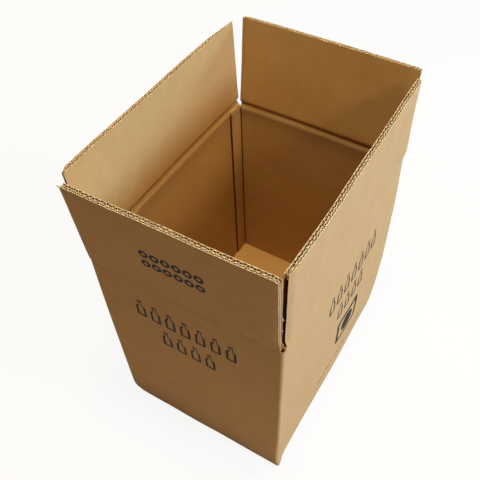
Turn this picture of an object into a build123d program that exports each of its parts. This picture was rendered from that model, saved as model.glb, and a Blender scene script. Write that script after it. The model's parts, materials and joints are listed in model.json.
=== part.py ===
from build123d import *
from math import ceil, cos, radians, tan
import os

# Bottle shipping box: one slotted and creased sheet of double-wall corrugated board, folded
# round into a carton. The bottom flaps are folded shut and glued, the four top flaps stand
# open on their creases. Millimetres, +Z up, origin in the middle of the underside. The short
# front and back panels lie across X, the long side panels along Y, the front is at -Y.

# Carton, outside sizes
BOX_WIDTH = 292.0
BOX_DEPTH = 382.0
CREASE_HEIGHT = 387.0        # top creases of the long panels, above the ground
FOLD_RADIUS = 4.0            # outside of every folded edge

# Board: outer liner, small flute, middle liner, large flute, inner liner
LINER = 0.4
SMALL_FLUTE = 2.3            # height of the flute layer
LARGE_FLUTE = 3.3
SMALL_PITCH = 6.4            # from one wave to the next
LARGE_PITCH = 7.8
LARGE_CREST = 1.6            # flat top of a large wave
WAVE_PAPER = 0.35            # paper left between a pocket's tip and the liner
WAVE_WEB = 0.5               # paper left beside a pocket's foot

# Slots and creases
FLAP_CLEARANCE = 0.3         # between a flap's edge and the walls it swings past
SLOT_BELOW_CREASE = 13.0     # from the long panels' creases down to the slots' feet
HINGE_INSET = 1.4            # fold line of a crease, behind the board's outer face
BEAD_RADIUS = 1.0            # crushed board left in the fold line
BEAD_CLEARANCE = 0.2
WALL_SLOPE = 48.0            # slope of the pressed groove below the fold line, degrees
SLOPE_MARGIN = 1.0           # degrees left in the groove when a flap is shut
OUTWARD_LIMIT = 118.0        # how far a flap folds out from upright, degrees
OUTWARD_MARGIN = 2.0         # degrees that the pressed groove allows past that
WALL_SHOULDER = 16.0         # radius where the wall turns into the groove
FLAP_SHOULDER = 7.0
CRUSHED_ROOT = 9.0           # height over which the flutes are pressed shut
SEAM_GAP = 7.6               # between the long flaps' edges when shut
BOTTOM_SEAM_GAP = 2.0

# Lean of each standing flap, outward from upright, degrees
FRONT_LEAN_ANGLE = 4.3
RIGHT_LEAN_ANGLE = 1.5
BACK_LEAN_ANGLE = 7.0
LEFT_LEAN_ANGLE = 3.8

# Glued joint of the sheet's two ends, at the back left corner
TAB_WIDTH = 28.0
TAB_BOARD = 2.3              # the tab is pressed thinner than the board
TAB_TOP_GAP = 0.5            # below the slots' feet
JOINT_GAP = 0.8              # between the left panel's inner face and the back panel's fold
JOINT_FLOOR = 1.0            # board left behind that gap
JOINT_SETBACK = 1.5          # of the left panel's cut edge, from the back panel's face
EDGE_CHANNEL = 3.0           # depth of the flutes laid open along a cut edge

# Worked out from the sizes above
BOARD = 3 * LINER + SMALL_FLUTE + LARGE_FLUTE
SLOT = BOARD + FLAP_CLEARANCE
SHORT_CREASE_HEIGHT = CREASE_HEIGHT - SLOT
SLOT_FOOT = CREASE_HEIGHT - SLOT_BELOW_CREASE
HINGE_DEPTH = BOARD - HINGE_INSET
LONG_FLAP = BOX_WIDTH / 2 - HINGE_INSET - SEAM_GAP / 2
SHORT_FLAP = LONG_FLAP + SLOT
OUTER_SLOPE = (OUTWARD_LIMIT + OUTWARD_MARGIN) / 2
FLAP_SLOPE = 90 + SLOPE_MARGIN - WALL_SLOPE
BEYOND = 2 * BOARD           # how far a cutter reaches past the board

# One row per panel: turn about Z from the front, half the box across it, half the box along
# it, crease height, flap length and lean
PANELS = {
    "front": (0, BOX_DEPTH / 2, BOX_WIDTH / 2, SHORT_CREASE_HEIGHT, SHORT_FLAP, FRONT_LEAN_ANGLE),
    "right": (90, BOX_WIDTH / 2, BOX_DEPTH / 2, CREASE_HEIGHT, LONG_FLAP, RIGHT_LEAN_ANGLE),
    "back": (180, BOX_DEPTH / 2, BOX_WIDTH / 2, SHORT_CREASE_HEIGHT, SHORT_FLAP, BACK_LEAN_ANGLE),
    "left": (270, BOX_WIDTH / 2, BOX_DEPTH / 2, CREASE_HEIGHT, LONG_FLAP, LEFT_LEAN_ANGLE),
}


def at_crease(panel):
    """Place of a panel's crease: X along it, Y inward from the outer face, Z up."""
    turn, across, _, height, _, _ = PANELS[panel]
    return Rot(0, 0, turn) * Pos(0, -across, height)


def along_panel(profile, length):
    """Extrudes a profile, drawn as inward against up, along the middle of a panel."""
    return extrude(Plane.YZ * profile, length / 2, both=True)


def block(low, high):
    """Box from its lowest to its highest corner."""
    size = [top - bottom for bottom, top in zip(low, high)]
    return Pos(*low) * Box(*size, align=(Align.MIN, Align.MIN, Align.MIN))


def fold_waste():
    """What a rounded fold takes off a square edge that lies on the origin, towards +X +Y."""
    square = Rectangle(FOLD_RADIUS, FOLD_RADIUS, align=(Align.MIN, Align.MIN))
    return square - Pos(FOLD_RADIUS, FOLD_RADIUS) * Circle(FOLD_RADIUS)


def layer_faces():
    """Inward places of the faces of the two flute layers: small low, high, large low, high."""
    small_low = LINER
    small_high = small_low + SMALL_FLUTE
    large_low = small_high + LINER
    return small_low, small_high, large_low, large_low + LARGE_FLUTE


def flute_pockets(span, pitch, crest, low, high):
    """The open pockets of one flute layer, standing by turns on either liner."""
    foot = (pitch - crest) / 2 - WAVE_WEB
    pockets = []
    for step in range(-ceil(span / pitch), ceil(span / pitch) + 1):
        middle = step * pitch / 2
        if abs(middle) - foot > span / 2 - WAVE_WEB:
            continue
        base, tip = (low, high - WAVE_PAPER) if step % 2 == 0 else (high, low + WAVE_PAPER)
        outline = [(middle - foot, base), (middle + foot, base), (middle + crest / 2, tip)]
        if crest:
            outline.append((middle - crest / 2, tip))
        pockets.append(Polygon(*outline, align=None))
    return pockets


def board_section(span):
    """Section across the flutes of a piece of board, X along it and Y inward."""
    small_low, small_high, large_low, large_high = layer_faces()
    solid = Rectangle(span, BOARD, align=(Align.CENTER, Align.MIN))
    small = flute_pockets(span, SMALL_PITCH, 0, small_low, small_high)
    large = flute_pockets(span, LARGE_PITCH, LARGE_CREST, large_low, large_high)
    return solid - (small + large)


def shoulder(profile, corner, radius):
    """Rounds the corner where a pressed groove meets the board's inner face."""
    vertex = profile.vertices().sort_by_distance((*corner, 0))[0]
    return fillet(vertex, radius)


def flap_root():
    """Profile of a flap's crushed foot: the fold line's bead between its two slopes."""
    corner = (BOARD, HINGE_DEPTH * tan(radians(FLAP_SLOPE)))
    outline = Polygon(
        (HINGE_INSET, 0),
        corner,
        (BOARD, CRUSHED_ROOT),
        (0, CRUSHED_ROOT),
        (0, HINGE_INSET * tan(radians(OUTER_SLOPE))),
        align=None,
    )
    return shoulder(outline, corner, FLAP_SHOULDER) + Pos(HINGE_INSET, 0) * Circle(BEAD_RADIUS)


def wall_waste():
    """Profile of what a crease takes off the top of a wall, and all that is above it."""
    corner = (BOARD, -HINGE_DEPTH * tan(radians(WALL_SLOPE)))
    below = corner[1] - WALL_SHOULDER * tan(radians(90 - WALL_SLOPE))
    outline = Polygon(
        (HINGE_INSET, 0),
        (-BEYOND, -(HINGE_INSET + BEYOND) * tan(radians(OUTER_SLOPE))),
        (-BEYOND, SLOT + BEYOND),
        (BOARD + BEYOND, SLOT + BEYOND),
        (BOARD + BEYOND, below),
        (BOARD, below),
        corner,
        align=None,
    )
    seat = Pos(HINGE_INSET, 0) * Circle(BEAD_RADIUS + BEAD_CLEARANCE)
    return shoulder(outline, corner, WALL_SHOULDER) + seat


def top_flap(panel):
    """A standing top flap: fluted board on its crushed root, leaning about the fold line."""
    _, _, along, _, length, lean = PANELS[panel]
    span = 2 * (along - SLOT)
    sheet = extrude(Pos(0, 0, CRUSHED_ROOT) * board_section(span), length - CRUSHED_ROOT)
    upright = sheet + along_panel(flap_root(), span)
    fold_line = Pos(0, HINGE_INSET, 0)
    return at_crease(panel) * fold_line * Rot(lean, 0, 0) * fold_line.inverse() * upright


def wall_ring():
    """The four panels folded round, with their outer folds and without their top ends."""
    width, depth = BOX_WIDTH / 2, BOX_DEPTH / 2
    outside = block((-width, -depth, 0), (width, depth, CREASE_HEIGHT))
    inside = block((BOARD - width, BOARD - depth, 0), (width - BOARD, depth - BOARD, CREASE_HEIGHT))
    ring = outside - inside
    upright_fold = extrude(fold_waste(), CREASE_HEIGHT)
    ring -= Pos(-width, -depth, 0) * upright_fold
    ring -= Pos(width, -depth, 0) * Rot(0, 0, 90) * upright_fold
    ring -= Pos(width, depth, 0) * Rot(0, 0, 180) * upright_fold
    return ring - joint_waste()


def joint_waste():
    """What is missing round the left panel's cut edge, where the sheet's ends meet."""
    left, back = -BOX_WIDTH / 2, BOX_DEPTH / 2
    inner = left + BOARD
    cut_edge = back - JOINT_SETBACK
    small_low, small_high, large_low, large_high = layer_faces()
    waste = block((left, cut_edge, 0), (inner, back, CREASE_HEIGHT))
    waste += block((inner, back - BOARD + JOINT_FLOOR, 0), (inner + JOINT_GAP, back, CREASE_HEIGHT))
    waste += Pos(inner + JOINT_GAP, back, 0) * Rot(0, 0, 270) * extrude(fold_waste(), CREASE_HEIGHT)
    for low, high in ((small_low, small_high), (large_low, large_high)):
        channel = (left + low, cut_edge - EDGE_CHANNEL, 0)
        waste += block(channel, (left + high, cut_edge, CREASE_HEIGHT))
    return waste


def bottom_flaps():
    """The shut bottom: the short panels' flaps lie glued on the long panels' flaps."""
    width, depth = BOX_WIDTH / 2, BOX_DEPTH / 2
    flaps = []
    for side in (-1, 1):
        middle = side * (BOTTOM_SEAM_GAP / 2 + width) / 2
        long_flap = Box(width - BOTTOM_SEAM_GAP / 2, 2 * (depth - SLOT), BOARD)
        flaps.append(Pos(middle, 0, BOARD / 2) * long_flap)
        short_flap = Box(2 * (width - SLOT), SHORT_FLAP, BOARD)
        flaps.append(Pos(0, side * (depth - SHORT_FLAP / 2), 3 * BOARD / 2) * short_flap)
    return flaps


def glue_tab():
    """The tab that turns in from the back panel and lies glued on the left panel."""
    face = BOARD - BOX_WIDTH / 2
    back = BOX_DEPTH / 2 - BOARD
    top = SLOT_FOOT - TAB_TOP_GAP
    return block((face, back - TAB_WIDTH, BOARD), (face + TAB_BOARD, back, top))


def carton_body():
    """Walls, shut bottom and glue tab, with slots at the corners and creases on the walls."""
    body = wall_ring() + bottom_flaps()
    bottom_fold = Plane.YZ * fold_waste()
    for panel, (turn, across, along, height, _, _) in PANELS.items():
        crease = along_panel(wall_waste(), 2 * (along - BOARD))
        fold = Rot(0, 0, turn) * Pos(0, -across, 0) * extrude(bottom_fold, along, both=True)
        slot = block((-along, 0, SLOT_FOOT - height), (SLOT - along, SLOT, 2 * SLOT))
        body -= [at_crease(panel) * crease, fold, at_crease(panel) * slot]
    return body + glue_tab()


os.makedirs("parts", exist_ok=True)
export_step(carton_body(), "parts/carton_body.step")
for panel_name in PANELS:
    export_step(top_flap(panel_name), f"parts/{panel_name}_flap.step")
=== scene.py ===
"""Looks of the bottle shipping box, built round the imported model. Local sizes are in millimetres."""
import json
import math
import random

import bmesh
import bpy
import numpy as np
from mathutils import Matrix, Vector


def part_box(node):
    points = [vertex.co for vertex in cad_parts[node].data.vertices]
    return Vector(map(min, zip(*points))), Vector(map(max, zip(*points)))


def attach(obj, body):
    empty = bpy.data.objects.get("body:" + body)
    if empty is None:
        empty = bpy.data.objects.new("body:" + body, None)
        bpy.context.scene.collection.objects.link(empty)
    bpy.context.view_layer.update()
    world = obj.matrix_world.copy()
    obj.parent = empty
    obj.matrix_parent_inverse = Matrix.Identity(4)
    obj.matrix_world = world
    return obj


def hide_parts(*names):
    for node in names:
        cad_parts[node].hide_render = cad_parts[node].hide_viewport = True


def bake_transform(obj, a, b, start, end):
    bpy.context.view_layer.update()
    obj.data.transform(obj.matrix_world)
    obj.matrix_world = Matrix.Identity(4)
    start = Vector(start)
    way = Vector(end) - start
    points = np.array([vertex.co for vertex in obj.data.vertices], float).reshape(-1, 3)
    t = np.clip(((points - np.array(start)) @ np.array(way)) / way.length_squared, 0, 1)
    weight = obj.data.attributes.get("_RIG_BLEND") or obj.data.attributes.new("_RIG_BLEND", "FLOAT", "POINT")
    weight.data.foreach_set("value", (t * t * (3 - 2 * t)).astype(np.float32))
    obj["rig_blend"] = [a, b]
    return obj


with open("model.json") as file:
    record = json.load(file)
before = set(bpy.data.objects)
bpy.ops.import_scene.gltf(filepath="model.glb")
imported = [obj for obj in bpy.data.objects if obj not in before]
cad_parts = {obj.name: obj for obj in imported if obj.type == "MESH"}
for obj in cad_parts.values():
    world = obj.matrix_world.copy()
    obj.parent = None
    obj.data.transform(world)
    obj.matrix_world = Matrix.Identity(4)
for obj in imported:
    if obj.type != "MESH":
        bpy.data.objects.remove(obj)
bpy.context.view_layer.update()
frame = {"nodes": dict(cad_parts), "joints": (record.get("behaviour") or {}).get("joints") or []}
scene = bpy.context.scene

MM = 0.001
HALF_WIDTH, HALF_DEPTH = 146.0, 191.0     # outer faces of the panels
SLOT = 7.1                                # width of the corner slots
SLOT_FOOT = 374.0                         # height of their feet above the ground
HINGE_INSET = 1.4                         # fold line, behind the board's outer face
LONG_CREASE, SHORT_CREASE = 387.0, 379.9  # heights of the fold lines above the ground
LONG_FLAP, SHORT_FLAP = 140.8, 147.9

# Layers of the board, from the outer face inward: low and high face of each
OUTER_LINER = (0.0, 0.45)
SMALL_WAVE = (0.45, 2.7)
MIDDLE_LINER = (2.7, 3.1)
LARGE_WAVE = (3.1, 6.3)
INNER_LINER = (6.3, 6.8)
BOARD = INNER_LINER[1]
SMALL_PITCH, LARGE_PITCH = 6.4, 7.8       # from one wave to the next
WAVE_PAPER = 0.4
OUTER_GROOVE, INNER_GROOVE = 60.0, 43.0   # slopes of a flap's root, degrees
BEAD = (0.45, 2.35)                       # outer and inner face of the root at the fold line
ROOT_ROUNDING = 0.7                       # of the inner face, where it leaves the groove
ROOT_TOP = 7.5                            # height from which the flap has its full thickness
WALL_SLOPE, WALL_SHOULDER = 48.0, 16.0    # groove below the fold line: slope in degrees, radius


# Numbers
def smooth(low, high, value):
    """0 below low, 1 above high and a soft rise between them."""
    share = np.clip((np.asarray(value, float) - low) / (high - low), 0, 1)
    return share * share * (3 - 2 * share)


def ripple(seed, size, count=10):
    """A smooth random surface over two lengths, about -1 to 1, with features of the given size."""
    dice = random.Random(seed)
    waves = []
    for _ in range(count):
        turn = dice.uniform(0, math.tau)
        rate = math.tau / size * dice.uniform(0.55, 1.45)
        waves.append((rate * math.cos(turn), rate * math.sin(turn), dice.uniform(0, math.tau)))

    def height(a, b):
        total = sum(np.sin(u * a + v * b + start) for u, v, start in waves)
        return total / math.sqrt(2 * count)

    return height


def soft_line(stations, width):
    """Straight runs between (place, value) stations, with their corners rounded over a width."""
    places, values = zip(*stations)

    def value(at):
        steps = np.linspace(-width / 2, width / 2, 5)
        return sum(np.interp(np.asarray(at) + step, places, values) for step in steps) / 5

    return value


def spread(low, high, step, fine, fine_step):
    """Stations from low to high, closer together within `fine` of both ends."""
    count = max(1, round(fine / fine_step))
    start = np.linspace(low, low + fine, count, endpoint=False)
    end = np.linspace(high - fine, high, count + 1)[1:]
    inner = np.linspace(low + fine, high - fine, max(2, round((high - low - 2 * fine) / step)) + 1)
    return np.concatenate([start, inner, end])


# Meshes
OUTSIDE, INSIDE, CORE, CUT, PAINTED_SHADE = range(5)    # material places of a board; the last one is painted shade
PAINTED_SHADE_BELOW = 0.5                       # height up to which the inner liner's foot has painted shade
SHARP_ANGLE = 35                          # degrees, from which an edge isn't smoothed over


class Shell:
    """Collects closed sheets of quads, each with a front, a back and rims."""

    def __init__(self):
        self.points = []
        self.faces = []
        self.places = []
        self.count = 0

    def sheet(self, front, back, front_place, back_place, rim_place):
        """Adds a sheet from two grids of points of the same shape."""
        rows, columns = front.shape[:2]
        first = self.count + np.arange(rows * columns).reshape(rows, columns)
        second = first + rows * columns
        self.points += [front.reshape(-1, 3), back.reshape(-1, 3)]
        self.count += 2 * rows * columns
        self._quads(first, front_place)
        self._quads(second[::-1], back_place)
        self._strip(first[0], second[0], rim_place)
        self._strip(second[-1], first[-1], rim_place)
        self._strip(second[:, 0], first[:, 0], rim_place)
        self._strip(first[:, -1], second[:, -1], rim_place)

    def darken_first(self, heights, below):
        """Paints shade on the last sheet's inner face below a height, for the dark line along the fold."""
        places = self.places[-5].reshape(-1, len(heights) - 1)
        places[:, heights[1:] <= below] = PAINTED_SHADE

    def darken_end(self, stations, below):
        """Gives the last sheet's outer face the shade of a deep channel up to a station."""
        places = self.places[-6].reshape(len(stations) - 1, -1)
        places[stations[1:] <= below, :-2] = PAINTED_SHADE

    def _quads(self, index, place):
        corners = np.stack([index[:-1, :-1], index[1:, :-1], index[1:, 1:], index[:-1, 1:]], -1)
        self.faces.append(corners.reshape(-1, 4))
        self.places.append(np.full(corners[..., 0].size, place))

    def _strip(self, one, other, place):
        self._quads(np.stack([one, other]), place)

    def build(self, name, materials):
        mesh = bpy.data.meshes.new(name)
        mesh.from_pydata(np.concatenate(self.points) * MM, [], np.concatenate(self.faces).tolist())
        for material in materials:
            mesh.materials.append(material)
        mesh.polygons.foreach_set("material_index", np.concatenate(self.places).astype(np.int32))
        return finish_mesh(mesh, name)


def finish_mesh(mesh, name):
    """Turns the faces outward, smooths them and puts the mesh into the scene."""
    work = bmesh.new()
    work.from_mesh(mesh)
    bmesh.ops.recalc_face_normals(work, faces=work.faces)
    work.to_mesh(mesh)
    work.free()
    mesh.shade_smooth()
    mesh.set_sharp_from_angle(angle=math.radians(SHARP_ANGLE))
    mesh.update()
    piece = bpy.data.objects.new(name, mesh)
    scene.collection.objects.link(piece)
    return piece


# Frames of the flaps
class Crease:
    """Place of one flap's fold line, from its joint: X along it, Y inward, Z up."""

    def __init__(self, side):
        joint = next(j for j in frame["joints"] if j["child"] == side + "_flap")
        along = Vector(joint["axis"]).normalized()
        inward = Vector((0, 0, 1)).cross(along)
        self.place = np.array(joint["pos_m"]) / MM
        self.axes = np.array([along, inward, (0, 0, 1)])
        self.lean = math.radians(-90 - joint["range_deg"][0])

    def wall(self, points):
        """Points of the wall's frame, with Y from the outer face and Z from the fold line."""
        moved = points - np.array([0, HINGE_INSET, 0])
        return self.place + moved @ self.axes

    def flap(self, points):
        """Points of the standing flap's frame, leaning outward with it."""
        cosine, sine = math.cos(self.lean), math.sin(self.lean)
        y = points[..., 1] - HINGE_INSET
        z = points[..., 2]
        leaned = np.stack([points[..., 0], y * cosine - z * sine, y * sine + z * cosine], -1)
        return self.place + leaned @ self.axes


CREASES = {side: Crease(side) for side in ("front", "right", "back", "left")}


# Flaps
# For each flap: span, length, how far its top edge stands inward of its plane (bow) and its foot
# outward (foot) at stations along it, and at its low and high end how far the outer and the inner
# face are crushed, over what length, how far back the small wave, middle liner and large wave end,
# how far the top corner has sunk and how far the end bellies out sideways. Only where it matters:
# lip, how far the outer liner is bent out at that end; hold, the share of the crush that goes down
# to the foot; flare, how far the foot of that end stands out; shift, how much further out the end's
# foot lies; splay, how far its layers spread sideways above the foot
FLAPS = {
    "front": dict(
        span=2 * (HALF_WIDTH - SLOT), length=SHORT_FLAP, seed=11, starts=(0.35, 0.1),
        bow=[(-139, -0.5), (-60, 0.6), (0, 1.7), (70, 3.0), (139, 4.0)],
        foot=[(-139, 1.8), (0, 0.9), (139, 0.3)],
        low=dict(outer=0.3, inner=0.2, reach=10, back=(0.6, 0.3, 1.0), drop=0.6, belly=0.0, lip=2.2),
        high=dict(outer=0.9, inner=0.1, reach=12, back=(0.3, 0.1, 0.4), drop=3.6, belly=0.3, shift=1.3,
                  splay=1.6)),
    "right": dict(
        span=2 * (HALF_DEPTH - SLOT), length=LONG_FLAP, seed=23, starts=(0.6, 0.2),
        bow=[(-184, 4.6), (-150, 3.3), (-100, 2.0), (0, 2.2), (100, 1.5), (184, 1.9)],
        foot=[(-184, -0.5), (-120, 0), (0, 0.6), (100, 0.8), (184, 0.6)],
        low=dict(outer=2.4, inner=-1.3, reach=12, back=(9.0, 6.0, 9.0), drop=2.6, belly=0.0),
        high=dict(outer=1.2, inner=0.5, reach=14, back=(1.0, 0.4, 2.2), drop=0.8, belly=0.0, flare=5.6)),
    "back": dict(
        span=2 * (HALF_WIDTH - SLOT), length=SHORT_FLAP, seed=37, starts=(0.0, 0.75),
        bow=[(-139, 0.9), (-60, -1.1), (0, -1.9), (80, -1.4), (139, -0.4)],
        foot=[(-139, 0.6), (-100, 2.0), (0, 3.4), (80, 3.0), (125, 2.4), (139, 1.8)],
        low=dict(outer=0.8, inner=0.0, reach=9, back=(0.5, 0.2, 3.4), drop=0.6, belly=0.0),
        high=dict(outer=1.6, inner=0.4, reach=10, back=(1.0, 0.5, 1.5), drop=0.8, belly=0.0)),
    "left": dict(
        span=2 * (HALF_DEPTH - SLOT), length=LONG_FLAP, seed=41, starts=(0.2, 0.5),
        bow=[(-184, 2.6), (-150, 2.0), (-110, 1.2), (-40, 0.0), (60, -0.2), (135, -0.3), (184, 0.4)],
        foot=[(-184, 0), (-150, 0.5), (-100, 1.5), (-20, 3.0), (100, 3.3), (150, 1.9), (184, 0.4)],
        low=dict(outer=4.6, inner=0.2, reach=70, back=(1.0, 0.5, 1.0), drop=0.6, belly=0.0),
        high=dict(outer=3.6, inner=0.1, reach=13, back=(2.0, 1.0, 2.4), drop=1.2, belly=0.4, hold=0.3)),
}


def root_faces(z):
    """Inward places of a flap's outer and inner face at a height above the fold line."""
    outer = HINGE_INSET - z / math.tan(math.radians(OUTER_GROOVE))
    outer = np.clip(outer, 0, BEAD[0])
    rise = HINGE_INSET + z / math.tan(math.radians(INNER_GROOVE))
    inner = BOARD - np.logaddexp(0, (BOARD - rise) / ROOT_ROUNDING) * ROOT_ROUNDING
    inner = np.where(z > ROOT_TOP, BOARD, np.maximum(inner, BEAD[1]))
    return outer, inner


CRUSH_RISE = 12                           # height over which an end's crush sets in
CORNER_REACH, CORNER_HEIGHT = 7, 30       # of a sunken top corner
BOW_ROUNDING, FOOT_ROUNDING = 40, 30      # along the flap
FLARE_REACH = 75
RIM_HEIGHT = 7                            # of the worn top edge
FOOT_LOW, FOOT_HIGH = 3, 30               # heights between which an end's foot gives way to its layers


def crush_ends(facts, x, z, depth, outer, inner):
    """Presses a flap's faces together at its ends and sinks its top corners."""
    half, length = facts["span"] / 2, facts["length"]
    for end, reach_from in (("low", x + half), ("high", half - x)):
        crush = facts[end]
        close = 1 - smooth(0, crush["reach"], reach_from)
        grip = close ** 1.5 * (1 - (1 - crush.get("hold", 1)) * (1 - np.clip(z / length, 0, 1)))
        outer = outer + crush["outer"] * grip * smooth(0, CRUSH_RISE, z)
        inner = inner - crush["inner"] * grip * smooth(0, CRUSH_RISE, z)
        corner = (1 - smooth(0, CORNER_REACH, reach_from)) ** 2 * smooth(length - CORNER_HEIGHT, length, z)
        z = z - crush["drop"] * corner * np.clip(1.25 - depth, 0.4, 1)
    return outer, inner, z


def bend_flap(facts, x, z, share):
    """How far a flap stands inward of its plane: bowed top, pushed out foot and flared end."""
    half = facts["span"] / 2
    bow, foot = soft_line(facts["bow"], BOW_ROUNDING), soft_line(facts["foot"], FOOT_ROUNDING)
    flare = facts["high"].get("flare", 0) * smooth(half - FLARE_REACH, half, x)
    bend = bow(x) * share - foot(x) * (1 - share)
    return bend - flare * smooth(-4, 20, z) * (1 - np.minimum(share, 1)) ** 1.8


def slide_ends(facts, x, z, share, depth):
    """How far a flap's ends lie to the side: bellied, shifted at the foot, splayed above it."""
    low, high, place = facts["low"], facts["high"], x / (facts["span"] / 2)
    belly = np.sin(np.pi * np.clip(share, 0, 1))
    slide = high["belly"] * smooth(0.7, 1, place) - low["belly"] * smooth(0.7, 1, -place)
    above = smooth(FOOT_LOW, FOOT_HIGH, z)
    shift = high.get("shift", 0) * (1 - 0.7 * depth) * (1 - above)
    shift = shift + high.get("splay", 0) * (depth - 0.6) * above
    return slide * belly + shift * smooth(0.9, 1, place)


def shape_flap(facts, x, y, z, grooved=True):
    """Crushes, bends and wears a flat board: points of the flap's frame."""
    length, seed = facts["length"], facts["seed"]
    depth = y / BOARD
    outer, inner = root_faces(z) if grooved else (0 * z, BOARD + 0 * z)
    outer, inner, z = crush_ends(facts, x, z, depth, outer, inner)
    share = np.clip(z / length, 0, 1.1)
    wave = ripple(seed, 160)(x, z) * 0.5 + ripple(seed + 1, 45)(x, z) * 0.12
    rim = smooth(length - RIM_HEIGHT, length, z)
    nick = ripple(seed + 2, 17)(x, y * 6) * 0.22 + ripple(seed + 3, 5)(x, y * 9) * 0.12
    nudge = ripple(seed + 4, 12)(x, y * 4) * 0.16
    y = outer + depth * (inner - outer) + bend_flap(facts, x, z, share)
    y = y + wave * smooth(0, 40, z) + nudge * rim
    return np.stack([x + slide_ends(facts, x, z, share, depth), y, z - np.abs(nick) * rim], -1)


WAVE_STATIONS = 14                        # on one wave
WAVE_DRIFT = 0.05                         # how unevenly the waves follow one another
WAVE_BITE = 0.03                          # how far a wave's paper reaches into the liners


def wave_line(low, high, pitch, start, layer, seed):
    """Centre line and normals of a flute wave that touches both faces of its layer."""
    count = int((high - low) / pitch * WAVE_STATIONS) + 2
    x = np.linspace(low, high, count)
    drift = ripple(seed, pitch * 9)(x, 0 * x) * WAVE_DRIFT
    turn = math.tau * (x / pitch + start + drift)
    swing = np.sin(turn)
    swing = swing * (1.22 - 0.22 * swing ** 2)
    middle = (layer[0] + layer[1]) / 2
    tall = (layer[1] - layer[0] - WAVE_PAPER) / 2 + WAVE_BITE
    y = middle + tall * swing
    slope = np.gradient(y, x)
    size = np.hypot(1, slope)
    return x, y, -slope / size, 1 / size


FLAKE_PAPER = 0.3                         # thickness of torn or frayed paper


def fray_end(shell, facts, crease):
    """Flutes crushed over the high end of a flap, between its outer and inner liner."""
    half, seed = facts["span"] / 2, facts["seed"]
    across = np.linspace(0.5, BOARD - 0.5, 9)
    y, z = np.meshgrid(across, np.arange(3.0, facts["length"] - 5, 1.1), indexing="ij")
    x = half - 0.7 + 0.4 * ripple(seed + 20, 9)(y * 3, z) + 0.3 * ripple(seed + 21, 3)(y * 2, z)
    front, back = (crease.flap(shape_flap(facts, x - deep, y, z)) for deep in (0, FLAKE_PAPER))
    shell.sheet(front, back, CORE, CORE, CORE)


# Torn bits of liner: root on the flat board, reach, width and how far the tip curls outward
FLAKES = {
    "front": [((-138.6, 0.1, 146.6), (-3.4, 0.0, 2.6), 4.0, 0.8),
              ((139.0, 6.4, 68.0), (2.6, 0.6, -1.6), 4.6, 0.6),
              ((139.0, 6.6, 41.0), (1.5, 0.4, 0.9), 3.0, 0.5)],
    "right": [((-183.6, 6.7, 115.0), (-2.2, 0.2, 1.4), 3.8, 0.3)],
}


def flake(shell, facts, crease, root, reach, width, curl):
    """A pointed bit of liner standing off a board's edge."""
    base = shape_flap(facts, *(np.array([part]) for part in root))[0]
    share, across = np.meshgrid(np.linspace(0, 1, 6), np.linspace(-0.5, 0.5, 4), indexing="ij")
    points = base + share[..., None] * np.array(reach)
    points[..., 2] += across * width * (1 - share) ** 0.6
    points[..., 1] -= curl * share ** 2
    back = points + np.array([0, FLAKE_PAPER, 0])
    shell.sheet(crease.flap(points), crease.flap(back), CUT, CUT, CUT)


FOOT_STATIONS = [-0.7, -0.3, 0.3, 0.9, 1.6, 2.4, 3.4, 4.6, 6.2, 9.0]    # heights on a flap's foot
LIP_REACH = 4.5
END_PITCH = 3.4                           # of the crushed bit of wave that ends the right flap's waves


def flap_board(side):
    """The standing flap as real board: three liners and two fluted waves."""
    facts, crease = FLAPS[side], CREASES[side]
    half, length, seed = facts["span"] / 2, facts["length"], facts["seed"]
    shell = Shell()
    heights = np.concatenate([FOOT_STATIONS, spread(12, length, 6.0, 8, 1.6)])
    columns = spread(-half, half, 4.0, 14, 1.4)

    def grid(x, y, z):
        shaped = shape_flap(facts, *np.broadcast_arrays(x[:, None], y[:, None], z[None, :]))
        return crease.flap(shaped)

    def lipped(x, y, z):
        """The outer liner, bent out at the flap's low end, most at its foot."""
        x, y, z = (part.astype(float) for part in np.broadcast_arrays(x[:, None], y[:, None], z[None, :]))
        reach = facts["low"].get("lip", 0) * (1.2 - np.clip(z / length, 0, 1)) / 1.2 * smooth(0, 8, z)
        near_end = (1 - smooth(0, LIP_REACH, x + half)) * reach
        return crease.flap(shape_flap(facts, x - near_end, y - 1.1 * near_end, z))

    def wave_sheet(line, rows):
        x, y, nx, ny = line
        deep = WAVE_PAPER / 2
        shell.sheet(grid(x - nx * deep, y - ny * deep, rows), grid(x + nx * deep, y + ny * deep, rows),
                    CORE, CORE, CUT)

    low_back, high_back = facts["low"]["back"], facts["high"]["back"]
    liners = ((OUTER_LINER, False, OUTSIDE, CORE), (MIDDLE_LINER, True, CORE, CORE),
              (INNER_LINER, False, CORE, INSIDE))
    for (near, far), held_back, near_place, far_place in liners:
        ends = (-half + low_back[1], half - high_back[1]) if held_back else (-half, half)
        x = np.interp(columns, (-half, half), ends)
        y = np.full_like(x, near)
        shape = lipped if near == 0 else grid
        shell.sheet(shape(x, y, heights), shape(x, y + far - near, heights), near_place, far_place, CUT)
        if far_place == INSIDE:
            # Painted shade along the fold line at the inner liner's foot
            shell.darken_first(heights, PAINTED_SHADE_BELOW)
            # Painted shade in the open flutes at the flap's low end
            shell.darken_end(columns, -half + low_back[2] - 0.5)
    rows = np.concatenate([[0.3, 2.4, 4.6, 9.0], np.linspace(14, length - 9, 6),
                           [length - 5, length - 2.5, length - 1.0, length]])
    waves = ((SMALL_WAVE, SMALL_PITCH, 0), (LARGE_WAVE, LARGE_PITCH, 2))
    for number, (layer, pitch, place) in enumerate(waves):
        low, high = -half + low_back[place], half - high_back[place]
        wave_sheet(wave_line(low, high, pitch, facts["starts"][number], layer, seed + 7 + number), rows)
        if side == "right":
            end_line = wave_line(-half + 0.5, low + 0.3, END_PITCH, 0.1, layer, seed + 9 + number)
            wave_sheet(end_line, rows[-5:])
    if side == "front":
        fray_end(shell, facts, crease)
    for root, reach, width, curl in FLAKES.get(side, []):
        flake(shell, facts, crease, root, reach, width, curl)
    return shell


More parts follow.
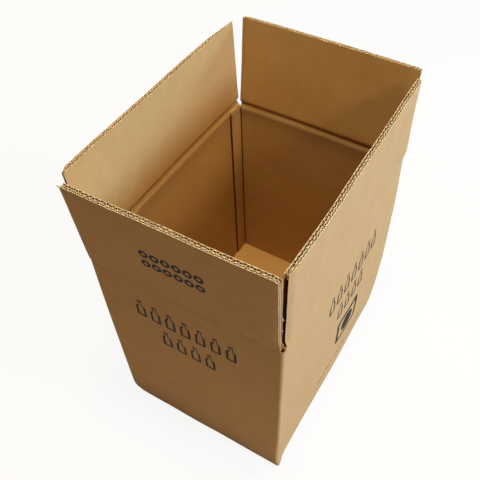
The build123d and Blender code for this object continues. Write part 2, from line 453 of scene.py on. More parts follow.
# Creases and walls
SKIN_DEPTH = 0.3
SKIN_PROUD = 0.03                         # so that its edges cover the liners that it runs over
SKIN_BLEND = 4.0                          # below and above the fold line
SKIN_HEIGHTS = np.array([-8, -6, -4.5, -3.2, -2.2, -1.5, -0.9, -0.4, 0,
                         0.4, 0.9, 1.5, 2.2, 3.2, 4.5, 6, 7.5, 9])
DENTS = {"front": 0.12, "right": 0.35, "back": 0.3, "left": 0.35}    # depth of the line on the fold
DENT_HEIGHT = 1.6


def crease_skin(side):
    """The outer liner where it runs on over the fold line, from the wall to the flap."""
    facts, crease = FLAPS[side], CREASES[side]
    half = facts["span"] / 2
    columns = spread(-half, half, 6.0, 12, 2.0)
    x, z = (grid.astype(float) for grid in np.meshgrid(columns, SKIN_HEIGHTS, indexing="ij"))
    z = np.where(z < 0, z * (1 - 0.7 * (1 - smooth(0, 6, half - np.abs(x)))), z)
    dent = DENTS[side] * np.exp(-(z / DENT_HEIGHT) ** 2)
    share = smooth(-SKIN_BLEND, SKIN_BLEND, z)[..., None]

    def face(y):
        flat = crease.wall(np.stack([x, y + dent, z], -1)).reshape(-1, 3)
        below = bend_body(flat).reshape(*x.shape, 3)
        shaped = shape_flap(facts, x, 0 * x, np.maximum(z, 0), grooved=False)
        shaped[..., 1] += y + dent
        shaped[..., 2] = z
        return below * (1 - share) + crease.flap(shaped) * share

    shell = Shell()
    shell.sheet(face(-SKIN_PROUD), face(SKIN_DEPTH), OUTSIDE, CORE, OUTSIDE)
    skin = shell.build(side + "_crease_skin", BOARD_MATERIALS)
    start = crease.place * MM - np.array([0, 0, SKIN_BLEND * MM])
    end = crease.flap(np.array([0, HINGE_INSET, SKIN_BLEND])) * MM
    tag_flutes(skin)
    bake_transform(skin, "carton", side + "_flap", start=tuple(start), end=tuple(end))
    return skin


# How far a wall stands out at heights above the ground
RIGHT_BULGE = soft_line([(0, 0.6), (16, 2.8), (88, 6.0), (162, 7.0), (245, 5.6), (291, 4.8), (340, 2.6),
                         (380, 0.5)], 40)
LEFT_BULGE = soft_line([(0, 1.4), (60, 1.4), (250, 1.4), (335, 0.8), (372, 0)], 40)
FRONT_BULGE = soft_line([(0, 3.2), (100, 3.0), (250, 2.4), (340, 1.6), (387, 1.4)], 40)
WALL_X, WALL_Y = 139, 184                 # from here outward a point belongs to a wall
WALL_FADE = 11                            # length over which a wall's unevenness sets in
BULGE_START = 20                          # from here outward points move with a wall's bulge
UNEVEN, UNEVEN_FINE = 0.35, 0.1           # heights of the two ripples on the walls


def near(points, centre, reach):
    """1 at a centre, falling smoothly to 0 at a distance from it."""
    distance = np.linalg.norm(points - np.array(centre), axis=1)
    return 1 - smooth(0, reach, distance)


def bend_body(points):
    """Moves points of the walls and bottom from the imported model's plain form, in millimetres."""
    x, y, z = points.T
    moved = points.copy()
    moved[:, 0] += RIGHT_BULGE(z) * smooth(-HALF_DEPTH, 60, y) * smooth(BULGE_START, WALL_X, x)
    moved[:, 0] -= LEFT_BULGE(z) * smooth(-160, 60, -y) * smooth(BULGE_START, WALL_X, -x)
    calm = 1 - smooth(330, 372, z)
    on_sides = smooth(WALL_X - WALL_FADE, WALL_X, np.abs(x))
    on_ends = smooth(WALL_Y - WALL_FADE, WALL_Y, np.abs(y))
    uneven = UNEVEN * ripple(61, 130)(y, z) + UNEVEN_FINE * ripple(62, 40)(y, z)
    moved[:, 0] += on_sides * calm * uneven * (1 - on_ends)
    uneven = UNEVEN * ripple(63, 130)(x, z) + UNEVEN_FINE * ripple(64, 40)(x, z)
    moved[:, 1] += on_ends * calm * uneven * (1 - on_sides)
    moved[:, 1] -= FRONT_BULGE(z) * smooth(BULGE_START, WALL_Y, -y) * (0.75 - 0.25 * x / HALF_WIDTH)
    hollow = smooth(-190, -172, y) - smooth(-100, 20, y)
    moved[:, 0] -= 1.7 * smooth(100, WALL_X, x) * (1 - smooth(10, 70, z)) * hollow
    moved += wear_corners(points)
    for side in ("right", "back", "left"):
        moved += follow_foot(points, side)
    return moved


def wear_corners(points):
    """How far the two front lower corners and the near upright edge are pushed in."""
    z = points[:, 2]
    crushed = near(points, (-HALF_WIDTH, -HALF_DEPTH, 0), 24)
    foot = near(points, (HALF_WIDTH, -WALL_Y, 2), 20)
    edge = near(points * (1, 1, 0), (HALF_WIDTH, -HALF_DEPTH, 0), 12)
    blunt = smooth(4, 16, z) * (1 - smooth(60, 110, z)) * edge
    pushes = ((crushed, (2.0, 1.6, 2.0)), (foot, (2.4, 0.4, 0.0)), (blunt, (-1.6, 0.5, 0)))
    return sum(share[:, None] * np.array(push) for share, push in pushes)


def follow_foot(points, side):
    """How far a wall's top goes outward with the foot of its flap."""
    crease, facts = CREASES[side], FLAPS[side]
    local = (points - crease.place) @ crease.axes.T
    from_end = facts["span"] / 2 + SLOT - np.abs(local[:, 0])
    foot = soft_line(facts["foot"], FOOT_ROUNDING)(local[:, 0]) * smooth(0, 26, from_end)
    share = smooth(150, 378, points[:, 2]) * (1 - smooth(8, 50, local[:, 1] + HINGE_INSET))
    return -(foot * share)[:, None] * crease.axes[1]


def cut_grid(work, low, high, step):
    """Cuts all faces along a grid of planes, in metres."""
    for axis in range(3):
        normal = Vector([float(axis == k) for k in range(3)])
        for place in np.arange(low[axis] + step / 2, high[axis], step):
            geometry = work.verts[:] + work.edges[:] + work.faces[:]
            bmesh.ops.bisect_plane(work, geom=geometry, plane_co=normal * place, plane_no=normal)


GRID_STEP = 0.012                         # of the walls' fine grid, in metres
INNER_X, INNER_Y = HALF_WIDTH - BOARD, HALF_DEPTH - BOARD
TAB_FACE = -INNER_X + 2.3                 # inner face of the glue tab
TAB_EDGE = INNER_Y - 28.0                 # its free edge
TAB_TOP = SLOT_FOOT - 0.5
TAB_GAP = 1.2                             # width of the shaded strip beside its free edge
FOLD_GROOVE = 1.3                         # half the width of the line pressed into each inner fold
FOLD_REACH = 22                           # radius round a fold within which faces are cut
FOLD_PUSH = (1.4, 1.8)                    # how far its line is pressed in along x and y
TAB_STRIP_DEPTH = 1.5
RECESS_REACH = 44                         # within which the short bottom flaps' cut ends lie
PRESSED_FOLDS = ((INNER_X, -INNER_Y), (INNER_X, INNER_Y), (TAB_FACE, INNER_Y), (-INNER_X, -INNER_Y))


def with_rims(faces):
    """Faces together with their edges and corners, for a cut."""
    return faces + list({e for f in faces for e in f.edges} | {v for f in faces for v in f.verts})


def press_folds(work):
    """Presses the narrow line that each upright fold has along its inside."""
    for x, y in PRESSED_FOLDS:
        for normal, place in (((1, 0, 0), x - math.copysign(FOLD_GROOVE, x)),
                              ((0, 1, 0), y - math.copysign(FOLD_GROOVE, y))):
            fold = Vector((x, y, 0))
            faces = [f for f in work.faces if (f.calc_center_median() / MM - fold).xy.length < FOLD_REACH]
            bmesh.ops.bisect_plane(work, geom=with_rims(faces), plane_co=Vector(normal) * place * MM,
                                   plane_no=normal)
    for vert in work.verts:
        for x, y in PRESSED_FOLDS:
            if (vert.co.xy / MM - Vector((x, y))).length < 0.3 and 15 < vert.co.z / MM < TAB_TOP + 1:
                vert.co.x += math.copysign(FOLD_PUSH[0], x) * MM
                vert.co.y += math.copysign(FOLD_PUSH[1], y) * MM


def part_tab_edge(work):
    """Cuts and sinks the narrow strip of wall beside the tab's free edge."""
    near_edge = [f for f in work.faces if abs(f.calc_center_median().x / MM + INNER_X) < 3
                 and abs(f.calc_center_median().y / MM - TAB_EDGE) < 30 and abs(f.normal.x) > 0.7]
    geometry = with_rims(near_edge)
    for place in (TAB_EDGE - TAB_GAP, TAB_EDGE - 2 * TAB_GAP):
        found = bmesh.ops.bisect_plane(work, geom=geometry, plane_co=(0, place * MM, 0), plane_no=(0, 1, 0))
        geometry = found["geom"]
    for vert in work.verts:
        x, y, z = vert.co / MM
        if abs(y - (TAB_EDGE - TAB_GAP)) < 0.05 and abs(x + INNER_X) < 0.5 and 20 < z < TAB_TOP - 1:
            vert.co.x -= TAB_STRIP_DEPTH * MM


# How the torn hollow at a slot's foot is made: inset, rise and further rise towards the inside, in turn
SLOT_STEPS = ((0.2, 8.0, 4.0), (0.8, 0, 0), (0.2, -9.0, 0))


def crush_slot_feet(work):
    """Raises the torn, hollow end of the board that closes the foot of three corner slots."""
    floors = [f for f in work.faces if abs(f.calc_center_median().z / MM - SLOT_FOOT) < 0.3
              and f.normal.z > 0.9]
    floors = [f for f in floors if f.calc_center_median().x >= 0 or f.calc_center_median().y <= 0]
    for thickness, rise, slant in SLOT_STEPS:
        bmesh.ops.inset_region(work, faces=floors, thickness=thickness * MM, use_even_offset=True)
        for vert in {v for f in floors if f.is_valid for v in f.verts}:
            inward = HALF_WIDTH - abs(vert.co.x) / MM + HALF_DEPTH - abs(vert.co.y) / MM
            vert.co.z += (rise + slant * smooth(3, 12, inward)) * MM


def groove_depth(z):
    """Depth below the outer face of a wall's pressed groove, at a height below its fold line."""
    slope, turn, radius = math.radians(WALL_SLOPE), math.radians(90 - WALL_SLOPE), WALL_SHOULDER
    low = -(BOARD - HINGE_INSET) * math.tan(slope) - radius * math.tan(turn / 2)
    arc_height = radius * math.sin(turn)
    arc = BOARD - radius + np.sqrt(radius ** 2 - np.clip(z - low, 0, arc_height) ** 2)
    plane = HINGE_INSET - z / math.tan(slope)
    return np.where(z < low, BOARD, np.where(z < low + arc_height, arc, plane))


def tab_top():
    """The tab's upper end, pressed with the wall into the groove below the crease."""
    crease = CREASES["left"]
    across = np.linspace(-INNER_Y + 0.6, -TAB_EDGE, 10)
    heights = np.array([-15.0, -14.2, -13.6, -12.5, -11, -9.5, -8, -7.0, -6.4, -6.0])
    x, z = np.meshgrid(across, heights, indexing="ij")
    front = np.interp(z, (-15.0, -14.2, -13.6, -6.0), (8.7, 8.95, 9.14, 7.6))
    rim = 1 - smooth(0, 1.0, heights[-1] - z)

    def face(y):
        points = crease.wall(np.stack([x, y, z], -1)).reshape(-1, 3)
        return bend_body(points).reshape(*x.shape, 3)

    shell = Shell()
    shell.sheet(face(front - 0.3 * rim), face(groove_depth(z) - 0.3), INSIDE, CORE, INSIDE)
    piece = shell.build("tab_top", BOARD_MATERIALS)
    # Painted shade on the tab's faces across it, whose free edge stands as a dark gap
    for polygon in piece.data.polygons:
        if abs(polygon.normal.y) > 0.7:
            polygon.material_index = PAINTED_SHADE
    return piece


def carton_shell():
    """Walls and bottom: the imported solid's surface on a fine grid, a little bent as real board is."""
    mesh = frame["nodes"]["carton_body"].data.copy()
    work = bmesh.new()
    work.from_mesh(mesh)
    bmesh.ops.remove_doubles(work, verts=work.verts, dist=2e-6)
    bmesh.ops.dissolve_limit(work, angle_limit=math.radians(0.3), verts=work.verts, edges=work.edges)
    crush_slot_feet(work)
    low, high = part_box("carton_body")
    cut_grid(work, low, high, GRID_STEP)
    press_folds(work)
    part_tab_edge(work)
    bmesh.ops.triangulate(work, faces=[f for f in work.faces if len(f.verts) > 4])
    work.to_mesh(mesh)
    work.free()
    points = np.array([v.co for v in mesh.vertices]) / MM
    mesh.vertices.foreach_set("co", (bend_body(points) * MM).astype(np.float32).ravel())
    for name in [a.name for a in mesh.attributes if a.name.startswith("custom_normal")]:
        mesh.attributes.remove(mesh.attributes[name])
    mesh.materials.clear()
    for material in BOARD_MATERIALS:
        mesh.materials.append(material)
    places = np.zeros(len(mesh.polygons), np.int32)
    for number, face in enumerate(mesh.polygons):
        places[number] = body_place(Vector(face.center) / MM, face.normal)
    mesh.polygons.foreach_set("material_index", places)
    return finish_mesh(mesh, "carton_shell")


def body_place(centre, normal):
    """Which of the board's materials a face of the walls or bottom has."""
    x, y, z = centre
    depth = min(HALF_WIDTH - abs(x), HALF_DEPTH - abs(y))
    upright = abs(normal.z) < 0.5
    if z > SLOT_FOOT - 0.5 and abs(x) > INNER_X - 0.15 and abs(y) > INNER_Y - 0.15:
        outward = max(normal.x * x / HALF_WIDTH, normal.y * y / HALF_DEPTH)
        if upright and outward > 0.5:
            return OUTSIDE
        # Painted shade on the hollow's inner walls and low floor; its higher top stays core paper
        return PAINTED_SHADE if upright or z < SLOT_FOOT + 6 else CORE
    if 16 < z < SLOT_FOOT:
        # Painted shade in the sunk strip beside the tab's free edge and in the pressed line of the tab's
        # fold
        from_strip = abs(y - (TAB_EDGE - TAB_GAP / 2))
        if from_strip < TAB_GAP / 2 + 0.35 and -INNER_X - 2 * TAB_STRIP_DEPTH < x < TAB_FACE - 0.2:
            return PAINTED_SHADE
        if math.hypot(x - TAB_FACE, y - INNER_Y) < FOLD_GROOVE + 0.4:
            return PAINTED_SHADE
    if z > SLOT_FOOT - 1 and upright and depth < BOARD + 0.4:
        towards_end = abs(normal.x) if HALF_DEPTH - abs(y) < HALF_WIDTH - abs(x) else abs(normal.y)
        if towards_end > 0.9:
            return CUT
    if BOARD - 1 < z < 2 * BOARD + 1 and abs(y) < RECESS_REACH and abs(normal.y) > 0.9:
        return CUT
    if abs(x) < HALF_WIDTH - BOARD + 3 and abs(y) < HALF_DEPTH - BOARD + 1.5 and z > BOARD - 1:
        return INSIDE
    return OUTSIDE


# Print
INK_HEIGHT, INK_DEPTH = 0.12, 0.1         # above and below the paper's face
INK_GRID = 0.008                          # of the print's fine grid, in metres


def disc(x, z, radius, count=28):
    """Outline of a disc."""
    turns = [math.tau * k / count for k in range(count)]
    return [(x + radius * math.cos(t), z + radius * math.sin(t)) for t in turns]


def bar(x0, z0, x1, z1):
    """Outline of an upright rectangle."""
    return [(x0, z0), (x1, z0), (x1, z1), (x0, z1)]


def bottle(x, z, tall, wide):
    """Outline of a bottle: body, round shoulders, neck and lip."""
    half, neck = wide / 2, wide * 0.2
    right = [(half * 0.86, 0), (half, tall * 0.04), (half, tall * 0.52)]
    for k in range(1, 7):
        turn = math.pi / 2 * k / 7
        right.append((neck + (half - neck) * math.cos(turn), tall * (0.52 + 0.17 * math.sin(turn))))
    right += [(neck, tall * 0.73), (neck, tall * 0.9), (neck * 1.15, tall * 0.91), (neck * 1.15, tall)]
    left = [(-a, b) for a, b in reversed(right)]
    return [(x + a, z + b) for a, b in right + left]


def outline_ring(points, inset):
    """The strips between an outline and a smaller copy of it, which leave a hole in the middle."""
    low = [min(p[k] for p in points) for k in (0, 1)]
    high = [max(p[k] for p in points) for k in (0, 1)]
    middle = [(a + b) / 2 for a, b in zip(low, high)]
    share = [1 - 2 * inset / (b - a) for a, b in zip(low, high)]
    hole = [tuple(m + (v - m) * s for v, m, s in zip(p, middle, share)) for p in points]
    strips = []
    for k in range(len(points)):
        n = (k + 1) % len(points)
        strips.append([points[k], points[n], hole[n], hole[k]])
    return strips


def print_marks(name, shapes, place, body_name):
    """Ink lying on a panel: flat shapes cut along a grid, each a thin closed layer on the paper."""
    work = bmesh.new()
    for shape in shapes:
        work.faces.new([work.verts.new((a * MM, 0, b * MM)) for a, b in shape])
    bmesh.ops.remove_doubles(work, verts=work.verts, dist=1e-6)
    low = [min(v.co[k] for v in work.verts) for k in range(3)]
    high = [max(v.co[k] for v in work.verts) for k in range(3)]
    bmesh.ops.triangulate(work, faces=work.faces)
    cut_grid(work, low, high, INK_GRID)
    work.verts.index_update()
    flat = np.array([v.co for v in work.verts]) / MM
    faces = [[v.index for v in f.verts] for f in work.faces]
    edges = [(e.verts[0].index, e.verts[1].index) for e in work.edges if e.is_boundary]
    work.free()
    count = len(flat)
    points = np.concatenate([place(flat[:, 0], y, flat[:, 2]) for y in (-INK_HEIGHT, INK_DEPTH)])
    faces += [[k + count for k in reversed(face)] for face in faces]
    faces += [[a, b, b + count, a + count] for a, b in edges]
    mesh = bpy.data.meshes.new(name)
    mesh.from_pydata(points * MM, [], faces)
    mesh.materials.append(INK)
    piece = finish_mesh(mesh, name)
    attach(piece, body_name)
    return piece


def on_wall(side):
    """Puts flat shapes on a wall: across it, and up from the ground."""
    crease = CREASES[side]
    height = {"front": SHORT_CREASE, "right": LONG_CREASE}[side]

    def place(x, y, z):
        return bend_body(crease.wall(np.stack([x, y + 0 * x, z - height], -1)))

    return place


def on_flap(side):
    """Puts flat shapes on a flap: across it, and up from its fold line."""
    facts, crease = FLAPS[side], CREASES[side]

    def place(x, y, z):
        shaped = shape_flap(facts, x, 0 * x, z)
        shaped[:, 1] += y
        return crease.flap(shaped)

    return place


# Materials
def tag_flutes(piece):
    """Stores, for the material, each face corner's place across the flutes, in metres."""
    mesh = piece.data
    values = np.zeros(len(mesh.loops), np.float32)
    points = np.zeros(len(mesh.vertices) * 3, np.float32)
    mesh.vertices.foreach_get("co", points)
    points = points.reshape(-1, 3)
    for face in mesh.polygons:
        axis = 1 if abs(face.normal.x) > 0.6 else 0
        for loop in face.loop_indices:
            values[loop] = points[mesh.loops[loop].vertex_index][axis]
    mesh.attributes.new("flute", "FLOAT", "CORNER").data.foreach_set("value", values)


DARKEST = 11                              # how far below the fold line the painted shade in the groove is darkest
SHADE_FADES = (6.5, 17)                   # lengths over which that fades, above and below
SHADE_STRENGTHS = (0.9, 0.6)              # on the short and on the long walls


def tag_groove_shade(piece):
    """Stores, for the material, how much painted shade each point gets in the groove below a top crease."""
    mesh = piece.data
    points = np.zeros(len(mesh.vertices) * 3, np.float32)
    mesh.vertices.foreach_get("co", points)
    x, y, z = points.reshape(-1, 3).T / MM
    from_x, from_y = HALF_WIDTH - np.abs(x), HALF_DEPTH - np.abs(y)
    short = from_y < from_x
    below = np.where(short, SHORT_CREASE, LONG_CREASE) - z
    fade = np.where(below < DARKEST, *SHADE_FADES)
    # Painted shade, which dims the light that the groove's upturned slope catches
    pressed = np.exp(-((below - DARKEST) / fade) ** 2) * np.where(short, *SHADE_STRENGTHS)
    pressed = pressed * smooth(0.8, 2.5, np.minimum(from_x, from_y))
    values = pressed.astype(np.float32)
    mesh.attributes.new("groove", "FLOAT", "POINT").data.foreach_set("value", values)


class Nodes:
    """Short words for building a material's node tree."""

    def __init__(self, name):
        self.material = bpy.data.materials.new(name)
        self.material.use_nodes = True
        self.tree = self.material.node_tree
        self.tree.nodes.clear()
        output = self.tree.nodes.new("ShaderNodeOutputMaterial")
        self.shader = self.tree.nodes.new("ShaderNodeBsdfPrincipled")
        self.tree.links.new(self.shader.outputs[0], output.inputs[0])
        self.place = self.tree.nodes.new("ShaderNodeTexCoord").outputs["Object"]

    def put(self, socket, value):
        if isinstance(value, bpy.types.NodeSocket):
            self.tree.links.new(value, socket)
        else:
            socket.default_value = value

    def math(self, kind, *values):
        node = self.tree.nodes.new("ShaderNodeMath")
        node.operation = kind
        for socket, value in zip(node.inputs, values):
            self.put(socket, value)
        return node.outputs[0]

    def noise(self, scale, detail=2.0, roughness=0.5, stretch=(1, 1, 1)):
        mapping = self.tree.nodes.new("ShaderNodeMapping")
        self.put(mapping.inputs["Vector"], self.place)
        mapping.inputs["Scale"].default_value = stretch
        node = self.tree.nodes.new("ShaderNodeTexNoise")
        self.put(node.inputs["Vector"], mapping.outputs[0])
        node.inputs["Scale"].default_value = scale
        node.inputs["Detail"].default_value = detail
        node.inputs["Roughness"].default_value = roughness
        return node.outputs["Fac"]

    def ramp(self, value, low, high):
        node = self.tree.nodes.new("ShaderNodeMapRange")
        node.interpolation_type = "SMOOTHSTEP"
        self.put(node.inputs["Value"], value)
        node.inputs["From Min"].default_value = low
        node.inputs["From Max"].default_value = high
        return node.outputs[0]

    def mix(self, share, one, other):
        node = self.tree.nodes.new("ShaderNodeMix")
        node.data_type = "RGBA"
        self.put(node.inputs["Factor"], share)
        for socket, colour in ((node.inputs[6], one), (node.inputs[7], other)):
            self.put(socket, colour if isinstance(colour, bpy.types.NodeSocket) else (*colour, 1))
        return node.outputs[2]

    def attribute(self, name):
        node = self.tree.nodes.new("ShaderNodeAttribute")
        node.attribute_name = name
        return node.outputs["Fac"]

    def bump(self, height, strength, distance):
        node = self.tree.nodes.new("ShaderNodeBump")
        node.inputs["Strength"].default_value = strength
        node.inputs["Distance"].default_value = distance
        self.put(node.inputs["Height"], height)
        self.put(self.shader.inputs["Normal"], node.outputs[0])


FLECK_SHADE, GROOVE_SHADE = 0.55, 0.45    # shares of the paper's darkest colour, for the flecks and for the painted shade in the grooves


def kraft(name, pale, mid, dark):
    """Brown liner: clouds, fibres along the paper's run, flecks, the faint print of the flutes and painted
    shade in the grooves below the top creases.
    """
    nodes = Nodes(name)
    clouds = nodes.noise(38, 4, 0.6)
    fibres = nodes.noise(1, 3, 0.6, (160, 160, 1100))
    fine = nodes.noise(1, 2, 0.7, (900, 900, 2600))
    flute = nodes.math("MULTIPLY", nodes.attribute("flute"), math.tau / (LARGE_PITCH * MM))
    ridges = nodes.math("MULTIPLY_ADD", nodes.math("SINE", flute), 0.5, 0.5)
    tone = nodes.math("ADD", nodes.math("MULTIPLY", clouds, 0.42), nodes.math("MULTIPLY", fibres, 0.36))
    tone = nodes.math("ADD", tone, nodes.math("MULTIPLY", fine, 0.16))
    tone = nodes.math("ADD", tone, nodes.math("MULTIPLY", ridges, 0.05))
    colour = nodes.mix(nodes.ramp(tone, 0.3, 0.7), dark, mid)
    colour = nodes.mix(nodes.ramp(fibres, 0.62, 0.85), colour, pale)
    flecks = nodes.noise(1, 1, 0.5, (420, 420, 1400))
    flecks = nodes.math("MULTIPLY", nodes.ramp(flecks, 0.7, 0.82), 0.5)
    colour = nodes.mix(flecks, colour, [FLECK_SHADE * c for c in dark])
    # Painted shade in the groove below the top creases
    groove = nodes.math("MULTIPLY", nodes.attribute("groove"), 0.55)
    colour = nodes.mix(groove, colour, [GROOVE_SHADE * c for c in dark])
    nodes.put(nodes.shader.inputs["Base Color"], colour)
    roughness = nodes.math("MULTIPLY_ADD", fine, 0.2, 0.7)
    nodes.put(nodes.shader.inputs["Roughness"], roughness)
    nodes.shader.inputs["Specular IOR Level"].default_value = 0.15
    height = nodes.math("ADD", nodes.math("MULTIPLY", fibres, 0.5), nodes.math("MULTIPLY", fine, 0.3))
    height = nodes.math("ADD", height, nodes.math("MULTIPLY", ridges, 0.5))
    nodes.bump(height, 0.35, 0.00012)
    return nodes.material


def torn(name, pale, dark):
    """Bare cut paper: short pale fibres with darker pits."""
    nodes = Nodes(name)
    grain = nodes.noise(900, 3, 0.7)
    clouds = nodes.noise(120, 2, 0.5)
    tone = nodes.math("ADD", nodes.math("MULTIPLY", grain, 0.7), nodes.math("MULTIPLY", clouds, 0.3))
    nodes.put(nodes.shader.inputs["Base Color"], nodes.mix(nodes.ramp(tone, 0.32, 0.62), dark, pale))
    nodes.shader.inputs["Roughness"].default_value = 0.95
    nodes.shader.inputs["Specular IOR Level"].default_value = 0.2
    nodes.bump(grain, 0.5, 0.0002)
    return nodes.material


def ink(name):
    """Black water-based ink, thinner over coarse fibres."""
    nodes = Nodes(name)
    grain = nodes.noise(1, 3, 0.7, (500, 500, 1500))
    clouds = nodes.noise(70, 2, 0.5)
    thin = nodes.ramp(nodes.math("ADD", grain, nodes.math("MULTIPLY", clouds, 0.4)), 0.72, 1.05)
    colour = nodes.mix(thin, (0.012, 0.010, 0.009), (0.045, 0.032, 0.02))
    nodes.put(nodes.shader.inputs["Base Color"], colour)
    nodes.shader.inputs["Roughness"].default_value = 0.7
    nodes.shader.inputs["Specular IOR Level"].default_value = 0.1
    nodes.bump(grain, 0.3, 0.0001)
    return nodes.material


KRAFT_OUT = kraft("kraft_outside", (0.63, 0.44, 0.26), (0.54, 0.345, 0.175), (0.49, 0.30, 0.143))
KRAFT_IN = kraft("kraft_inside", (0.63, 0.435, 0.235), (0.54, 0.34, 0.15), (0.49, 0.295, 0.123))
CORE_PAPER = torn("core_paper", (0.50, 0.31, 0.15), (0.36, 0.20, 0.09))
CUT_EDGE = torn("cut_edge", (0.86, 0.76, 0.58), (0.62, 0.47, 0.28))
INK = ink("print_ink")
# Painted shade: near-black paper for the fold lines, slot feet, open flute ends and gaps where light hardly
# reaches
PAINTED_SHADE_PAPER = torn("painted_shade_paper", (0.13, 0.055, 0.025), (0.06, 0.022, 0.01))
BOARD_MATERIALS = (KRAFT_OUT, KRAFT_IN, CORE_PAPER, CUT_EDGE, PAINTED_SHADE_PAPER)

# Pieces
for side in CREASES:
    board = flap_board(side).build(side + "_flap_board", BOARD_MATERIALS)
    tag_flutes(board)
    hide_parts(side + "_flap")
    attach(board, side + "_flap")
    crease_skin(side)

shell = carton_shell()
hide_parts("carton_body")
for piece in (shell, tab_top()):
    tag_flutes(piece)
    tag_groove_shade(piece)
    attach(piece, "carton")

# Marks: places across a panel, and up from the ground or from a flap's fold line
BOTTLE_STROKE, BOTTLE_WIDTH, BOTTLE_STEP = 3.6, 16, 24
FIRST_RING, RING_STEPS = (-38, 63), (15.2, 19)
RING_RADIUS, RING_STROKE = 6.8, 3.8
STAMP_LOW, STAMP_HIGH = (-8, 122), (66, 188)
STAMP_CUT, STAMP_STROKE, STAMP_DISC = 6, 8, 20
FIRST_DASH, DASH_STEP = (-56, 64), 10
DASH_LENGTHS, DASH_HEIGHT = (8, 4, 4), 3.5


def bottle_rows(middle, top, tall):
    """Seven outlined bottles over four."""
    marks = []
    for count, foot in ((7, top - tall), (4, top - 2.45 * tall)):
        for k in range(count):
            place = middle + BOTTLE_STEP * (k - (count - 1) / 2)
            marks += outline_ring(bottle(place, foot, tall, BOTTLE_WIDTH), BOTTLE_STROKE)
    return marks


def ring_rows():
    """Two rows of six rings."""
    marks = []
    for k in range(6):
        for row in range(2):
            x, z = (first + step * n for first, step, n in zip(FIRST_RING, RING_STEPS, (k, row)))
            marks += outline_ring(disc(x, z, RING_RADIUS), RING_STROKE)
    return marks


def stamp():
    """A disc in a frame with cut corners."""
    (x0, z0), (x1, z1), cut = STAMP_LOW, STAMP_HIGH, STAMP_CUT
    outline = [(x0, z0 + cut), (x0 + cut, z0), (x1 - cut, z0), (x1, z0 + cut),
               (x1, z1 - cut), (x1 - cut, z1), (x0 + cut, z1), (x0, z1 - cut)]
    return outline_ring(outline, STAMP_STROKE) + [disc((x0 + x1) / 2, (z0 + z1) / 2, STAMP_DISC)]


def dashes():
    """A row of dashes, every third one long."""
    x, z = FIRST_DASH
    starts = [x + DASH_STEP * k for k in range(17)]
    return [bar(a, z, a + DASH_LENGTHS[k % 3], z + DASH_HEIGHT) for k, a in enumerate(starts)]


print_marks("front_flap_print", ring_rows(), on_flap("front"), "front_flap")
print_marks("front_wall_print", bottle_rows(-1, 333, 37), on_wall("front"), "carton")
marks = bottle_rows(26, 311, 39) + stamp() + dashes()
print_marks("right_wall_print", marks, on_wall("right"), "carton")

# Camera, fitted to the photographed box's corners and edges
camera_data = bpy.data.cameras.new("camera")
camera_data.lens = 44.45
camera_data.sensor_width = 36
camera_data.shift_x = -0.02204
camera_data.shift_y = 0.0019
camera = bpy.data.objects.new("camera", camera_data)
camera.matrix_world = (Matrix.Translation((0.28876, -0.49545, 0.99908))
                       @ Matrix.Rotation(math.radians(31.24), 4, "Z")
                       @ Matrix.Rotation(math.radians(39.33), 4, "X")
                       @ Matrix.Rotation(math.radians(-1.39), 4, "Z"))
scene.collection.objects.link(camera)
scene.camera = camera
scene.view_settings.view_transform = "Standard"


def area_light(name, place, target, size, watts, colour):
    """A square lamp turned towards a target."""
    lamp = bpy.data.lights.new(name, "AREA")
    lamp.energy = watts
    lamp.size = size
    lamp.color = colour
    light = bpy.data.objects.new(name, lamp)
    light.location = place
    light.rotation_euler = (Vector(target) - Vector(place)).to_track_quat("-Z", "Y").to_euler()
    scene.collection.objects.link(light)


WARM = (1.0, 0.72, 0.32)
area_light("window", (2.3, 2.76, 1.32), (0, 0, 0.4), 0.75, 66, (0.37, 0.74, 1.0))
area_light("ceiling", (0.2, 0.1, 3.2), (0, 0, 0.2), 0.5, 30, WARM)
area_light("over_box", (0.0, -0.12, 1.9), (0, 0, 0.2), 0.3, 11, (1.0, 0.84, 0.48))
area_light("right_high", (2.3, 0.2, 2.4), (0, 0, 0.3), 0.6, 13, (1.0, 0.8, 0.46))
area_light("right_front", (2.4, -1.2, 2.8), (0, 0, 0.4), 0.5, 21, WARM)
area_light("right", (3.0, 0.15, 1.5), (0, 0, 0.4), 0.6, 77, (0.55, 0.74, 1.0))
area_light("over_right", (1.0, 0.85, 3.0), (0, 0, 0.2), 1.0, 13, WARM)
area_light("left_back", (-2.6, 1.2, 0.9), (0, 0, 0.25), 1.2, 30, (1.0, 0.84, 0.6))


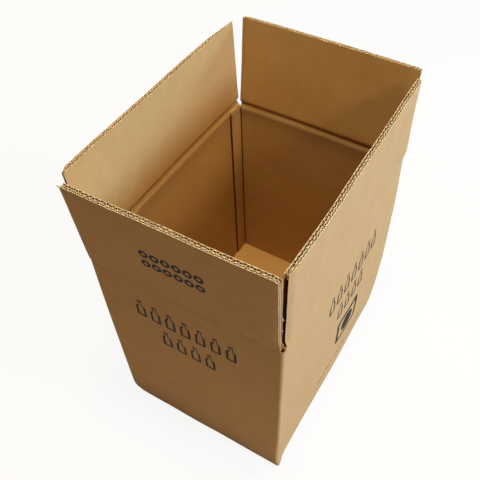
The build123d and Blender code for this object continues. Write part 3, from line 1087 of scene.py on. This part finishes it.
def seen_rays(tree):
    """1 for rays that see the background: from the camera, off gloss or through glass."""
    rays = tree.nodes.new("ShaderNodeLightPath")
    total = rays.outputs["Is Camera Ray"]
    for kind in ("Is Glossy Ray", "Is Transmission Ray"):
        either = tree.nodes.new("ShaderNodeMath")
        either.operation = "MAXIMUM"
        tree.links.new(total, either.inputs[0])
        tree.links.new(rays.outputs[kind], either.inputs[1])
        total = either.outputs[0]
    return total


def shader(tree, kind, colour):
    node = tree.nodes.new("ShaderNode" + kind)
    node.inputs[0].default_value = (*colour, 1)
    return node


def mixed(tree, share, one, other):
    """A mix of two shaders, by a number or a node's output."""
    mix = tree.nodes.new("ShaderNodeMixShader")
    if isinstance(share, float):
        mix.inputs[0].default_value = share
    else:
        tree.links.new(share, mix.inputs[0])
    tree.links.new(one.outputs[0], mix.inputs[1])
    tree.links.new(other.outputs[0], mix.inputs[2])
    return mix


# World: white where it is seen, and a faint warm light from all sides
world = bpy.data.worlds.new("world")
scene.world = world
world.use_nodes = True
tree = world.node_tree
tree.nodes.clear()
seen = shader(tree, "Background", (1, 1, 1))
lit = shader(tree, "Background", (1.0, 0.58, 0.23))
lit.inputs["Strength"].default_value = 0.038
either = mixed(tree, seen_rays(tree), lit, seen)
tree.links.new(either.outputs[0], tree.nodes.new("ShaderNodeOutputWorld").inputs[0])

# Ground: nearly white where it is seen, and a plain floor to all other light
ground_mesh = bpy.data.meshes.new("ground")
ground_mesh.from_pydata([(-6, -6, 0), (6, -6, 0), (6, 6, 0), (-6, 6, 0)], [], [(0, 1, 2, 3)])
ground = bpy.data.objects.new("ground", ground_mesh)
scene.collection.objects.link(ground)
ground_material = bpy.data.materials.new("ground")
ground_material.use_nodes = True
tree = ground_material.node_tree
tree.nodes.clear()
paper = shader(tree, "BsdfDiffuse", (0.8, 0.8, 0.8))
pale = mixed(tree, 0.9, paper, shader(tree, "Emission", (1, 1, 1)))
plain = shader(tree, "BsdfDiffuse", (0.62, 0.52, 0.42))
either = mixed(tree, seen_rays(tree), plain, pale)
tree.links.new(either.outputs[0], tree.nodes.new("ShaderNodeOutputMaterial").inputs[0])
ground_mesh.materials.append(ground_material)
